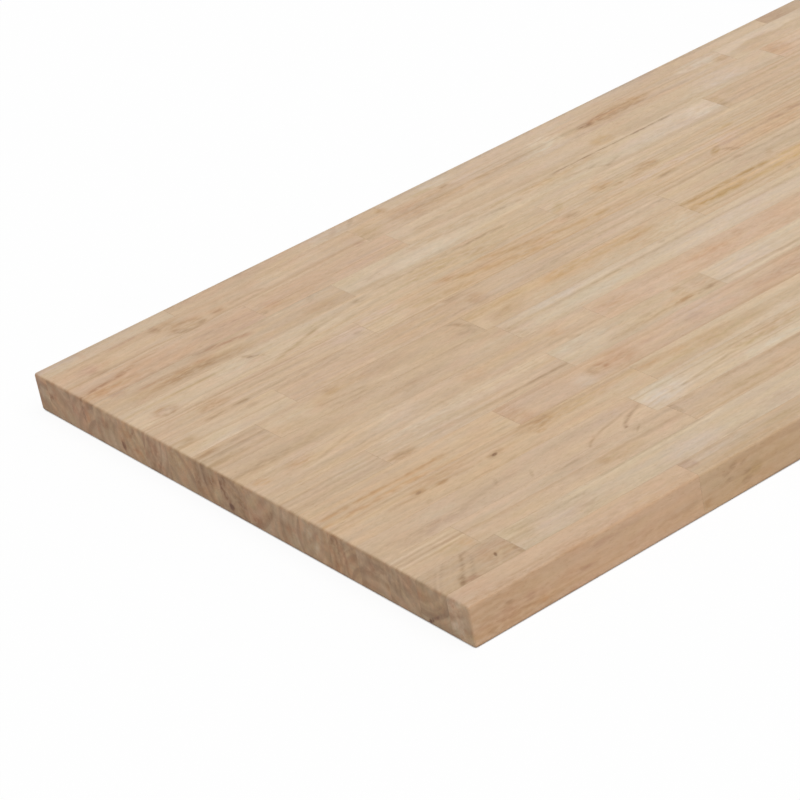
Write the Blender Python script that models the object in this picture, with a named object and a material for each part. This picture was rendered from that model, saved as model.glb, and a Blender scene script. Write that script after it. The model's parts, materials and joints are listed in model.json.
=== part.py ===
"""Butcher block countertop: rows of hardwood staves glued edge to edge and butted end to end.

The block lies flat with its grain along X. Its rows are counted from the -Y edge, and the staves
of a row from the -X end. The origin is the centre of the underside. Units are metres, +Z is up.
"""

import math

import bmesh
import bpy
from mathutils import Vector

# The block, as sold
LENGTH = 1.2192
WIDTH = 0.635
THICKNESS = 0.0381

# The staves: a full row's width, and what ripping the panel to width left of its first row
STAVE_WIDTH = 0.0390
FIRST_STRIP = 0.0270
GLUE_LINE = 0.0001

# The narrowest strip and the shortest stave that are left when the block is cut to size
NARROWEST_STRIP = 0.010
SHORTEST_STAVE = 0.030

# Every outside edge of the glued block is eased to a small radius
ARRIS = 0.0025
ARRIS_STEPS = 4
ROUND_PROFILE = 0.5
SMOOTH_BELOW = math.radians(30)

# Tones of the raw wood
TONES = {
    "pale": (0.62, 0.48, 0.34),
    "cream": (0.60, 0.45, 0.31),
    "tan": (0.59, 0.43, 0.295),
    "rosy": (0.59, 0.42, 0.29),
    "golden": (0.60, 0.43, 0.28),
    "brown": (0.55, 0.40, 0.27),
}
ROUGHNESS = 0.62

# Tone and length of the staves in each row. The last of a row runs to the +X end of the block.
CUTTING_LIST = (
    (("rosy", 0.237), ("brown", 0.470), ("cream", None)),
    (("brown", 0.080), ("pale", 0.520), ("tan", None)),
    (("brown", 0.066), ("tan", 0.230), ("tan", 0.464), ("golden", None)),
    (("tan", 0.286), ("pale", 0.459), ("rosy", None)),
    (("golden", 0.322), ("cream", 0.478), ("tan", None)),
    (("golden", 0.204), ("rosy", 0.496), ("cream", None)),
    (("brown", 0.098), ("tan", 0.198), ("cream", 0.176), ("pale", 0.428), ("golden", None)),
    (("tan", 0.370), ("rosy", 0.480), ("pale", None)),
    (("brown", 0.302), ("pale", 0.433), ("tan", None)),
    (("brown", 0.068), ("brown", 0.225), ("golden", 0.260), ("golden", None)),
    (("cream", 0.114), ("tan", 0.442), ("cream", 0.404), ("brown", None)),
    (("tan", 0.232), ("golden", 0.558), ("rosy", None)),
    (("cream", 0.477), ("cream", 0.453), ("tan", None)),
    (("brown", 0.265), ("pale", 0.461), ("tan", None)),
    (("rosy", 0.192), ("rosy", 0.166), ("cream", 0.480), ("rosy", None)),
    (("tan", 0.342), ("tan", 0.468), ("pale", None)),
    (("cream", 0.142), ("tan", 0.246), ("cream", 0.499), ("brown", None)),
)


def clear_scene():
    """Remove whatever the scene holds."""
    for obj in list(bpy.data.objects):
        bpy.data.objects.remove(obj, do_unlink=True)


def wood(tone):
    """Raw sanded wood of one tone."""
    name = f"{tone}_wood"
    material = bpy.data.materials.get(name) or bpy.data.materials.new(name)
    material.use_nodes = True
    shader = material.node_tree.nodes["Principled BSDF"]
    shader.inputs["Base Color"].default_value = (*TONES[tone], 1.0)
    shader.inputs["Roughness"].default_value = ROUGHNESS
    shader.inputs["Metallic"].default_value = 0.0
    return material


def row_spans():
    """Y range of each row from the -Y edge: the first strip, the full rows and the strip left over."""
    spans = [(0.0, FIRST_STRIP)]
    while spans[-1][1] < WIDTH:
        low = spans[-1][1] + GLUE_LINE
        high = low + STAVE_WIDTH
        if WIDTH - high < NARROWEST_STRIP:
            high = WIDTH
        spans.append((low, high))
    return spans


def stave_spans(cuts):
    """Tone and X range of each stave of a row from the -X end."""
    spans = []
    start = 0.0
    for tone, length in cuts:
        end = LENGTH if length is None else start + length
        if LENGTH - end < SHORTEST_STAVE:
            end = LENGTH
        spans.append((tone, start, end))
        if end == LENGTH:
            break
        start = end + GLUE_LINE
    return spans


def outer_faces(bm, sides):
    """Faces of a stave that lie on the outside of the block: its top, its underside and the sides given."""
    outward = [Vector((0, 0, 1)), Vector((0, 0, -1)), *sides]
    return {face for face in bm.faces if any(face.normal.dot(way) > 0.9 for way in outward)}


def stave_mesh(name, size, sides):
    """A planed stave with its base at the origin, eased where two outside faces of the block meet."""
    bm = bmesh.new()
    bmesh.ops.create_cube(bm, size=1.0)
    bmesh.ops.translate(bm, verts=bm.verts, vec=(0, 0, 0.5))
    bmesh.ops.scale(bm, verts=bm.verts, vec=size)
    bm.normal_update()
    outer = outer_faces(bm, sides)
    arrises = [edge for edge in bm.edges if all(face in outer for face in edge.link_faces)]
    if arrises:
        bmesh.ops.bevel(
            bm,
            geom=arrises,
            offset=ARRIS,
            offset_type="OFFSET",
            segments=ARRIS_STEPS,
            profile=ROUND_PROFILE,
            affect="EDGES",
        )
    mesh = bpy.data.meshes.new(name)
    bm.to_mesh(mesh)
    bm.free()
    mesh.shade_smooth()
    mesh.set_sharp_from_angle(angle=SMOOTH_BELOW)
    return mesh


def add_stave(name, tone, x_span, y_span, block):
    """Lay one stave in the block."""
    size = (x_span[1] - x_span[0], y_span[1] - y_span[0], THICKNESS)
    sides = []
    if x_span[0] == 0.0:
        sides.append(Vector((-1, 0, 0)))
    if x_span[1] == LENGTH:
        sides.append(Vector((1, 0, 0)))
    if y_span[0] == 0.0:
        sides.append(Vector((0, -1, 0)))
    if y_span[1] == WIDTH:
        sides.append(Vector((0, 1, 0)))
    stave = bpy.data.objects.new(name, stave_mesh(name, size, sides))
    stave.location = (sum(x_span) / 2, sum(y_span) / 2, 0)
    stave.data.materials.append(wood(tone))
    stave.parent = block
    bpy.context.collection.objects.link(stave)


def build():
    """Glue up the block row by row, centred on the origin."""
    clear_scene()
    block = bpy.data.objects.new("block", None)
    block.location = (-LENGTH / 2, -WIDTH / 2, 0)
    bpy.context.collection.objects.link(block)
    for row, y_span in enumerate(row_spans()):
        cuts = CUTTING_LIST[row % len(CUTTING_LIST)]
        for place, (tone, *x_span) in enumerate(stave_spans(cuts), start=1):
            add_stave(f"row_{row + 1:02d}_stave_{place}", tone, x_span, y_span, block)


build()
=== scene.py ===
"""The looks of a butcher block countertop: raw sanded hardwood staves, lit softly on a white floor.

Lengths in a material are in millimetres, measured from the block's visible lower near corner: x from the
visible end, y from the near long edge and z from the underside. Everything else is in metres.
"""

import json
import math
import random
from collections import namedtuple

import bpy
from mathutils import Matrix, Vector


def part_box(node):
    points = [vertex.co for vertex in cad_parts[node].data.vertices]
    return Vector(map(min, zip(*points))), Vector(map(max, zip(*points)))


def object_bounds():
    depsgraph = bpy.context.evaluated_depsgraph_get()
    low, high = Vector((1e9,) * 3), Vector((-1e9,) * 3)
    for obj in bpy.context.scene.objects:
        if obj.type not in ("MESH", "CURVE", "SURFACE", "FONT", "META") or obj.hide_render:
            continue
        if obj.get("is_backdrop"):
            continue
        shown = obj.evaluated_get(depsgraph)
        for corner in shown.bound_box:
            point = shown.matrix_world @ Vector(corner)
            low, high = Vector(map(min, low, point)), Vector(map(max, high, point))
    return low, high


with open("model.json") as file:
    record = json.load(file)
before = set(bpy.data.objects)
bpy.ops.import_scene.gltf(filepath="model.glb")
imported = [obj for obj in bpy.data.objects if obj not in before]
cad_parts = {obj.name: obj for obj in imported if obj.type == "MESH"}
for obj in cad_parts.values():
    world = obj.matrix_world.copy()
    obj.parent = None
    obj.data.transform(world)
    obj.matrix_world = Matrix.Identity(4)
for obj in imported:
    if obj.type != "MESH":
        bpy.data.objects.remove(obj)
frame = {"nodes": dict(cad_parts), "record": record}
CAD_LOW, CAD_HIGH = (Vector(corner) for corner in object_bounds())

MM = 0.001
THICK = (CAD_HIGH.z - CAD_LOW.z) / MM

# The camera's place, from the photograph's straight edges
CAMERA_AZIMUTH = math.radians(57.87)
CAMERA_ELEVATION = math.radians(28.08)
CAMERA_ROLL = math.radians(-11.41)
CAMERA_DISTANCE = 2.792
CAMERA_AIM = Vector((0.1693, 0.3051, CAD_HIGH.z - CAD_LOW.z))
CAMERA_LENS = 147.96
SENSOR = 36.0

# The studio: light from all round, and a broad lamp overhead that leans to the near right
WORLD_LIGHT = 0.41
SUN_LIGHT = 0.59
SUN_SPREAD = math.radians(50)
SUN_FROM = (0.10, -0.36, 1.0)

# The floor: how white it reads, and how near the block and how closed in it falls into shadow
FLOOR_SIZE = 14.0
FLOOR_COLOUR = (0.95, 0.95, 0.95, 1.0)
FLOOR_WHITENESS = 0.92
SHADOW_REACH = 0.006
SHADOW_OPENNESS = (0.1, 0.5)
SHADOW_SAMPLES = 8

# The wood's finish
ROUGHNESS = 0.62
PORE_ROUGHNESS = 0.12
RING_ROUGHNESS = -0.08
BUMP_STRENGTH = 0.35
BUMP_DISTANCE = 0.0002

# How far a surface turns to an end or a long edge until it shows that face's wood, and how much weaker
# the grain is on a long edge
FACE_TURNS = (0.3, 1.0)
EDGE_CALM = -0.5

# How the grain sways: how far a sway reaches along the grain and across it, and how wide it is
SWAYS = ((170.0, 60.0, 5.0), (30.0, 12.0, 1.3))

# How far apart in the noise two staves lie for each unit of their seeds
SEED_STEP = 137.0

# Light and dark that follow the rings: how far they reach along the grain, outward from the log's heart
# and round it, and how much they show
RING_SHADES = ((300.0, 9.0, 34.0, 0.15), (90.0, 4.2, 11.0, 0.19))

# Light and dark that follow the fibres: how far they reach along and across, their detail, and how much
# they show
FIBRE_SHADES = ((45.0, 16.0, 1.0, 0.10), (8.0, 2.6, 2.0, 0.23))

# Warm layers, patches of hue and the end grain's clouds: their reach as above, and their strength
WARM_LAYERS = (80.0, 9.0, 24.0)
WARM_STRENGTH, WARM_MEAN = 2.4, 0.4
HUE_PATCHES = (30.0, 12.0, 2.0)
CLOUD_PATCHES = (50.0, 17.0, 2.0)
PATCH_STRENGTH = 4.0

# Ring lines: the reach of what spaces them unevenly, how rare a strong one is, the shares of a ring at
# which one starts, is darkest and ends, and how strong the end grain's weakest band is
RING_UNEVENNESS = (300.0, 7.0, 60.0)
RING_RARITY = 3.0
LINE_START, LINE_PEAK, LINE_END = 0.40, 0.88, 1.0
WEAKEST_BAND = 0.4

# Pores (along, across) and rays (round, outward, along): their size, and the noise at which they show
PORE_SIZE = (4.5, 0.5)
PORE_NOISE = (0.08, 0.22)
RAY_SIZE = (0.7, 9.0, 4.0)
RAY_NOISE = (0.55, 0.75)

# How marks break up: the size of the breaks along and across, their noise, and the strengths it gives
BREAK_SIZE = (12.0, 3.5)
BREAK_NOISE = (0.30, 0.66)
BREAK_STRENGTHS = (0.30, 1.30)

# The shares of its depth, length and width at which a mark starts to fade
DEPTH_FADE = 0.6
LINE_FADE = 0.12
ARC_FADE = 0.5
STRIPES_END_FADE, STRIPES_SIDE_FADE = 0.85, 0.7

# How much longer than wide the grain's parting round a knot is, and how far it squeezes the grain
KNOT_STRETCH = 1.8
KNOT_SQUEEZE = -0.7

# What a stave's log may have been like: how far off its heart lay, how much the grain runs out of the
# stave, and how thick its rings were
PITH_DISTANCES = (34, 90)
DRIFTS = (-0.012, 0.012)
SLANTS = (-0.006, 0.006)
RINGS = (4, 8)

# What the long faces and the end grain are stained with, and the painted shade that darkens the foot of the
# block where it meets the floor, full at the lower height and gone at the upper
EDGE_TINT = (0.98, 0.92, 0.85)
END_TINT = (0.76, 0.672, 0.588)
FOOT_PAINTED_SHADE = (0.62, 0.56, 0.50)
FOOT_SHADE_HEIGHTS = (0.5, 3.5)
RING_TINT = (0.86, 0.80, 0.72)

# What each side of the grain's features is stained with everywhere, and on the end grain alone
GRAIN_STAINS = (
    ("Warm", 1, (1.02, 0.99, 0.91)),
    ("Hue", 1, (1.01, 0.975, 0.975)),
    ("Hue", -1, (0.98, 0.99, 0.965)),
    ("Pore", 1, (0.90, 0.86, 0.80)),
)
END_STAINS = (
    ("Ray", 1, (0.90, 0.89, 0.88)),
    ("Band", 1, (0.82, 0.76, 0.71)),
    ("Band", -1, (1.09, 1.10, 1.11)),
    ("Cloud", 1, (0.80, 0.74, 0.67)),
    ("Cloud", -1, (1.10, 1.13, 1.19)),
    ("Hue", 1, (1.04, 0.93, 0.86)),
    ("Hue", -1, (0.94, 0.99, 1.01)),
)

# How much wider than its nominal width a line of stain spreads, and the ring round a spot as a share of it
SPREAD = 1.5
RING_WIDTH = 0.3

# Tints that marks in the wood are stained with
DARK = (0.72, 0.66, 0.58)
BLACK = (0.50, 0.42, 0.35)
BARK = (0.46, 0.31, 0.20)
RUST = (0.76, 0.64, 0.55)
BROWN = (0.86, 0.78, 0.67)
RED = (0.87, 0.77, 0.69)
ORANGE = (0.97, 0.87, 0.75)
GOLD = (0.93, 0.87, 0.74)
AMBER = (0.92, 0.85, 0.60)
UMBER = (0.77, 0.68, 0.47)
HONEY = (1.12, 1.06, 0.84)
OLIVE = (0.91, 0.89, 0.80)
PINK = (0.97, 0.91, 0.89)
PLUM = (0.88, 0.82, 0.83)
GREY = (0.86, 0.85, 0.84)
BLUE = (1.04, 1.12, 1.21)
LILAC = (1.01, 1.03, 1.14)
PALE = (1.08, 1.10, 1.12)
LIGHT = (1.18, 1.27, 1.32)


class Graph:
    """A node tree with short ways to add nodes. Each input is a number, a tuple or another node's output."""

    def __init__(self, tree):
        self.tree = tree

    def node(self, kind, inputs=(), **settings):
        node = self.tree.nodes.new(kind)
        for name, value in settings.items():
            setattr(node, name, value)
        for name, value in dict(inputs).items():
            self.feed(node.inputs[name], value)
        return node

    def feed(self, socket, value):
        if isinstance(value, bpy.types.NodeSocket):
            self.tree.links.new(value, socket)
        else:
            socket.default_value = value

    def group(self, name, inputs):
        """The outputs of a node that runs one of the groups."""
        return self.node("ShaderNodeGroup", inputs, node_tree=GROUPS[name]).outputs

    def math(self, operation, *values, clamp=False):
        node = self.node("ShaderNodeMath", operation=operation, use_clamp=clamp)
        for socket, value in zip(node.inputs, values):
            self.feed(socket, value)
        return node.outputs[0]

    def times(self, value, other):
        return self.math("MULTIPLY", value, other)

    def over(self, value, other):
        return self.math("DIVIDE", value, other)

    def minus(self, value, other):
        return self.math("SUBTRACT", value, other)

    def times_plus(self, value, other, more):
        return self.math("MULTIPLY_ADD", value, other, more)

    def vector(self, x=0.0, y=0.0, z=0.0):
        return self.node("ShaderNodeCombineXYZ", {"X": x, "Y": y, "Z": z}).outputs[0]

    def split(self, vector):
        return self.node("ShaderNodeSeparateXYZ", {"Vector": vector}).outputs

    def noise(self, *lengths, detail=1.0, colour=False):
        """Noise over coordinates, each divided by the length that the pattern is stretched to."""
        place = self.vector(*(self.over(value, length) for value, length in lengths))
        inputs = {"Vector": place, "Scale": 1.0, "Detail": detail}
        return self.node("ShaderNodeTexNoise", inputs).outputs["Color" if colour else "Fac"]

    def ramp(self, value, low, high, start=0.0, end=1.0):
        """A smooth step from start, at low, to end, at high."""
        inputs = {"Value": value, "From Min": low, "From Max": high, "To Min": start, "To Max": end}
        return self.node("ShaderNodeMapRange", inputs, interpolation_type="SMOOTHSTEP").outputs[0]

    def stain(self, colour, tint, amount):
        """The colour multiplied by the tint, as far as amount says."""
        node = self.node("ShaderNodeMix", data_type="RGBA", blend_type="MULTIPLY", clamp_factor=True)
        self.feed(node.inputs[0], amount)
        self.feed(node.inputs[6], colour)
        self.feed(node.inputs[7], tint if isinstance(tint, bpy.types.NodeSocket) else (*tint, 1.0))
        return node.outputs[2]

    def bell(self, value):
        """One where the value is zero, falling away on both sides."""
        return self.math("EXPONENT", self.times(self.times(value, value), -1.0))

    def window(self, offset, half, start):
        """One in the middle, falling to zero from the share start of the half width on."""
        share = self.over(self.math("ABSOLUTE", offset), half)
        return self.ramp(share, start, 1.0, 1.0, 0.0)

    def slant(self, slope):
        """How much longer a way is for its slope."""
        return self.math("SQRT", self.times_plus(slope, slope, 1.0))


def new_group(name, inputs, outputs):
    """An empty node group with these inputs and outputs: floats, but for Place, which is a vector."""
    group = bpy.data.node_groups.new(name, "ShaderNodeTree")
    for in_out, names in (("INPUT", inputs), ("OUTPUT", outputs)):
        for socket in names:
            kind = "NodeSocketVector" if socket == "Place" else "NodeSocketFloat"
            group.interface.new_socket(socket, in_out=in_out, socket_type=kind)
    graph = Graph(group)
    return graph, graph.node("NodeGroupInput").outputs, graph.node("NodeGroupOutput").inputs


def place_group():
    """Where a point lies on the block in millimetres, with the sway of its grain, and how marks break up."""
    graph, given, out = new_group("place", ["Seed"], ["Place", "Break"])
    position = graph.node("ShaderNodeTexCoord").outputs["Object"]
    offset = graph.node("ShaderNodeVectorMath", operation="SUBTRACT")
    graph.feed(offset.inputs[0], position)
    graph.feed(offset.inputs[1], tuple(CAD_LOW))
    scaled = graph.node("ShaderNodeVectorMath", operation="SCALE")
    graph.feed(scaled.inputs[0], offset.outputs[0])
    graph.feed(scaled.inputs["Scale"], 1.0 / MM)
    x, y, z = graph.split(scaled.outputs[0])
    apart = graph.times_plus(given["Seed"], SEED_STEP, x)
    for along, across, sway in SWAYS:
        push = graph.noise((apart, along), (y, across), (z, across), colour=True)
        _, push_y, push_z = graph.split(push)
        y = graph.times_plus(graph.minus(push_y, 0.5), sway, y)
        z = graph.times_plus(graph.minus(push_z, 0.5), sway, z)
    graph.feed(out["Place"], graph.vector(x, y, z))
    along, across = BREAK_SIZE
    breaks = graph.noise((apart, along), (y, across), (z, across), detail=2.0)
    graph.feed(out["Break"], graph.ramp(breaks, *BREAK_NOISE, *BREAK_STRENGTHS))
    return graph.tree


def part_round_knot(graph, given, x, y):
    """The y that a point's grain would have without the knot that it parts round."""
    far_x = graph.over(graph.minus(x, given["Knot X"]), graph.times(given["Knot Size"], KNOT_STRETCH))
    far_y = graph.over(graph.minus(y, given["Knot Y"]), given["Knot Size"])
    near = graph.times(graph.bell(far_x), graph.bell(far_y))
    squeeze = graph.times_plus(near, KNOT_SQUEEZE, 1.0)
    return graph.times_plus(graph.minus(y, given["Knot Y"]), squeeze, given["Knot Y"])


def round_heart(graph, given, x, y, z):
    """A point's distance from the log's heart, and its distance round it."""
    off_y = graph.minus(y, given["Middle Y"])
    off_z = graph.minus(z, THICK / 2)
    toward = graph.times_plus(off_z, given["Pith Z"], graph.times(off_y, given["Pith Y"]))
    across = graph.minus(graph.times(off_y, given["Pith Z"]), graph.times(off_z, given["Pith Y"]))
    toward = graph.minus(given["Pith Distance"], toward)
    toward = graph.times_plus(x, given["Drift"], toward)
    across = graph.times_plus(x, given["Slant"], across)
    radius = graph.math("SQRT", graph.times_plus(toward, toward, graph.times(across, across)))
    return radius, graph.times(graph.over(across, toward), given["Pith Distance"])


def grain_group():
    """The wood of one stave: how light and warm it is, its hue, clouds, ring lines, pores and rays."""
    inputs = ["Place", "Seed", "Middle Y", "Pith Y", "Pith Z", "Pith Distance", "Drift", "Slant", "Ring"]
    inputs += ["Knot X", "Knot Y", "Knot Size"]
    outputs = ["Light", "Warm", "Hue", "Cloud", "Line", "Band", "Pore", "Ray"]
    graph, given, out = new_group("grain", inputs, outputs)
    x, y, z = graph.split(given["Place"])
    apart = graph.times_plus(given["Seed"], SEED_STEP, x)
    y = part_round_knot(graph, given, x, y)
    radius, around = round_heart(graph, given, x, y, z)

    def in_rings(along, outward, sideways):
        return graph.noise((apart, along), (radius, outward), (around, sideways))

    def fibrous(along, thick, detail=1.0):
        return graph.minus(graph.noise((apart, along), (y, thick), (z, thick), detail=detail), 0.5)

    light = 1.0
    for along, outward, sideways, share in RING_SHADES:
        layers = graph.minus(in_rings(along, outward, sideways), 0.5)
        light = graph.times_plus(layers, share, light)
    for along, thick, detail, share in FIBRE_SHADES:
        light = graph.times_plus(fibrous(along, thick, detail), share, light)
    graph.feed(out["Light"], light)
    warm = graph.minus(in_rings(*WARM_LAYERS), 0.5)
    graph.feed(out["Warm"], graph.times_plus(warm, WARM_STRENGTH, WARM_MEAN))
    graph.feed(out["Hue"], graph.times(fibrous(*HUE_PATCHES), PATCH_STRENGTH))
    graph.feed(out["Cloud"], graph.times(fibrous(*CLOUD_PATCHES), PATCH_STRENGTH))

    # Ring lines are unevenly spaced, and only some of them are strong
    ring = graph.math("ADD", graph.over(radius, given["Ring"]), in_rings(*RING_UNEVENNESS))
    strong = graph.node("ShaderNodeTexWhiteNoise", noise_dimensions="2D")
    graph.feed(strong.inputs["Vector"], graph.vector(graph.math("FLOOR", ring), given["Seed"]))
    strong = graph.math("POWER", strong.outputs["Value"], RING_RARITY)
    in_ring = graph.math("FRACT", ring)
    rise = graph.ramp(in_ring, LINE_START, LINE_PEAK)
    fall = graph.ramp(in_ring, LINE_PEAK, LINE_END, 1.0, 0.0)
    graph.feed(out["Line"], graph.times(graph.times(rise, fall), strong))
    wave = graph.math("SINE", graph.times(ring, math.pi))
    share = graph.times_plus(strong, 1.0 - WEAKEST_BAND, WEAKEST_BAND)
    graph.feed(out["Band"], graph.times(wave, share))

    graph.feed(out["Pore"], graph.ramp(fibrous(*PORE_SIZE), *PORE_NOISE))
    rays = graph.noise(*zip((around, radius, apart), RAY_SIZE))
    graph.feed(out["Ray"], graph.ramp(rays, *RAY_NOISE))
    return graph.tree


def from_middle(graph, given, u, v):
    """A point's distances from the middle of a mark that leans: along it and off it."""
    off_u = graph.minus(u, given["X"])
    off_v = graph.minus(v, given["Y"])
    return off_u, graph.minus(off_v, graph.times(off_u, given["Lean"]))


def line_masks(graph, given, u, v):
    """A line from A to B, bowed sideways, that fades at its ends."""
    length = graph.minus(given["B X"], given["A X"])
    share = graph.over(graph.minus(u, given["A X"]), length)
    inside = graph.times(share, graph.minus(1.0, share))
    rise = graph.minus(given["B Y"], given["A Y"])
    middle = graph.times_plus(share, rise, given["A Y"])

    # Inside is a quarter halfway along, where the bow is full
    middle = graph.times_plus(graph.times(inside, 4.0), given["Bow"], middle)
    width = graph.times(given["Width"], graph.slant(graph.over(rise, length)))
    off = graph.over(graph.minus(v, middle), width)
    return {"Mask": graph.times(graph.bell(off), graph.ramp(inside, 0.0, LINE_FADE))}


def arc_masks(graph, given, u, v):
    """The tip of a ring that runs out of the face: a parabola open along the grain."""
    side = graph.minus(v, given["Tip Y"])
    curve = graph.times(graph.times(side, side), given["Bend"])
    slope = graph.times(graph.times(side, given["Bend"]), 2.0)
    off = graph.minus(graph.minus(u, given["Tip X"]), curve)
    off = graph.over(graph.over(off, graph.slant(slope)), given["Width"])
    return {"Mask": graph.times(graph.bell(off), graph.window(side, given["Reach"], ARC_FADE))}


def spot_masks(graph, given, u, v):
    """An oval patch with a soft edge, leaning along a slope, and the ring round it."""
    off_u, off_v = from_middle(graph, given, u, v)
    off_u = graph.over(off_u, given["Half Length"])
    off_v = graph.over(off_v, given["Half Width"])
    far = graph.math("SQRT", graph.times_plus(off_u, off_u, graph.times(off_v, off_v)))
    inner = graph.minus(1.0, given["Soft"])
    outer = graph.math("ADD", 1.0, given["Soft"])
    ring = graph.bell(graph.over(graph.minus(far, 1.0), RING_WIDTH))
    return {"Mask": graph.ramp(far, inner, outer, 1.0, 0.0), "Ring": ring}


def stripes_masks(graph, given, u, v):
    """Parallel lines along the grain, or leaning along a slope, inside a window."""
    off_u, off_v = from_middle(graph, given, u, v)
    turn = graph.over(graph.times(off_v, 2 * math.pi), given["Pitch"])
    wave = graph.times_plus(graph.math("COSINE", turn), 0.5, 0.5)
    ends = graph.window(off_u, given["Half Length"], STRIPES_END_FADE)
    sides = graph.window(off_v, given["Half Width"], STRIPES_SIDE_FADE)
    return {"Mask": graph.times(wave, graph.times(ends, sides))}


def mark_group(name, inputs, draw):
    """A group that draws one kind of mark, and lets it fade out below its face."""
    graph, given, out = new_group(name, ["Place", "Depth", *inputs], ["Mask", "Ring"])
    u, v, depth = graph.split(given["Place"])
    fade = graph.ramp(graph.over(depth, given["Depth"]), DEPTH_FADE, 1.0, 1.0, 0.0)
    for part, mask in draw(graph, given, u, v).items():
        graph.feed(out[part], graph.times(mask, fade))
    return graph.tree


# The inputs that spots and stripes share
OVAL = ["X", "Y", "Half Length", "Half Width", "Lean"]

GROUPS = {
    "place": place_group(),
    "grain": grain_group(),
    "line": mark_group("line", ["A X", "A Y", "B X", "B Y", "Bow", "Width"], line_masks),
    "arc": mark_group("arc", ["Tip X", "Tip Y", "Bend", "Reach", "Width"], arc_masks),
    "spot": mark_group("spot", [*OVAL, "Soft"], spot_masks),
    "stripes": mark_group("stripes", [*OVAL, "Pitch"], stripes_masks),
}

# A mark in the wood: the group that draws it, its inputs, its stain, the group's output that shows, and
# whether it is even, as a hard knot is, or breaks up with the grain
Mark = namedtuple("Mark", "kind values tint strength part even", defaults=("Mask", False))


def line(x1, y1, x2, y2, width, tint, strength=0.5, bow=0.0):
    """A line of stain from one point to another."""
    values = {"A X": x1, "A Y": y1, "B X": x2, "B Y": y2, "Bow": bow, "Width": width * SPREAD}
    return Mark("line", values, tint, strength)


def arc(x, y, bend, reach, width, tint, strength=0.5):
    """A ring's tip: it opens towards the far end where bend is positive."""
    values = {"Tip X": x, "Tip Y": y, "Bend": bend, "Reach": reach, "Width": width * SPREAD}
    return Mark("arc", values, tint, strength)


def spot(x, y, length, width, tint, strength=0.5, lean=0.0, soft=0.6, part="Mask", even=False):
    """An oval of stain, or only the ring round it."""
    values = dict(zip(OVAL, (x, y, length / 2, width / 2, lean)))
    return Mark("spot", values | {"Soft": soft}, tint, strength, part, even)


def knot(x, y, length, width, strength, lean=0.0, tint=BLACK):
    """A small hard knot, dark all over."""
    return spot(x, y, length, width, tint, strength, lean, soft=0.45, even=True)


def stripes(x, y, length, width, pitch, tint, strength=0.5, lean=0.0):
    """Lines of stain side by side."""
    values = dict(zip(OVAL, (x, y, length / 2, width / 2, lean)))
    return Mark("stripes", values | {"Pitch": pitch}, tint, strength)


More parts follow.
